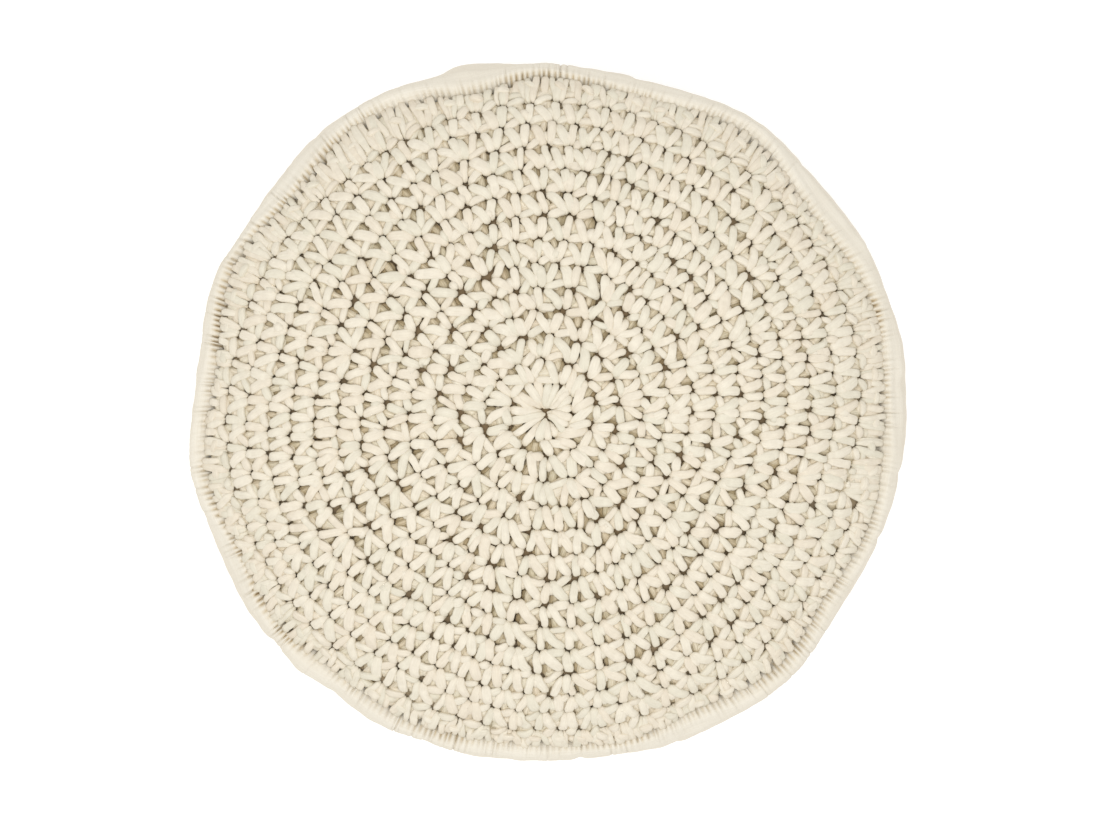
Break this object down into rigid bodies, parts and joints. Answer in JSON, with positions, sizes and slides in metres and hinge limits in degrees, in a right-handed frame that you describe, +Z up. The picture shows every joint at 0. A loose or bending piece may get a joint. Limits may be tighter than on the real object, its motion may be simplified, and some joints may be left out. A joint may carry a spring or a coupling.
{
  "type": "crocheted pouf",
  "caption": "Round filled pouf with a domed top crocheted in rounds and a gathered, bulging cloth side, standing on a flat base.",
  "frame": {"origin": "on the floor under the middle of the pouf's plan", "axes": "+Z up through the crocheted top; X and Y lie in the floor, X along the slightly longer side of the plan"},
  "size_m": [0.5382, 0.5284, 0.32],
  "materials": {
    "cotton_yarn": "matt tubular cotton yarn, natural cream",
    "cotton_cloth": "matt finely woven cotton cloth, natural cream"
  },
  "bodies": {
    "root": {"pouf_body": "cotton_cloth", "crochet_top": "cotton_yarn"}
  },
  "joints": []
}
